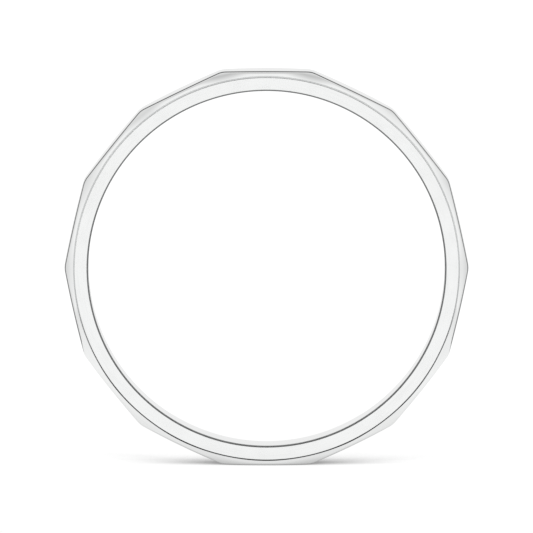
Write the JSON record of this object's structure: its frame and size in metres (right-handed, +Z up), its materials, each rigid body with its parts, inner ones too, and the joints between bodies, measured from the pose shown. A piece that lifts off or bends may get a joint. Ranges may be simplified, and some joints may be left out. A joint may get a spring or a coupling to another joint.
{
  "type": "wedding band",
  "caption": "Slim polished white-metal wedding band: a straight inner sleeve inside a domed outer band with flats cut all round it.",
  "frame": {"origin": "centre of the finger bore, at the middle of the ring's width", "axes": "+Y along the finger bore, away from the side that faces the viewer; +Z up, from the flat that the ring stands on to the flat opposite"},
  "size_m": [0.0196, 0.002, 0.0192],
  "materials": {
    "sleeve_metal": "high polish, with the fine turning marks of a worn-in bore",
    "band_metal": "mirror polish"
  },
  "bodies": {
    "root": {"inner_sleeve": "sleeve_metal", "faceted_band": "band_metal"}
  },
  "joints": []
}
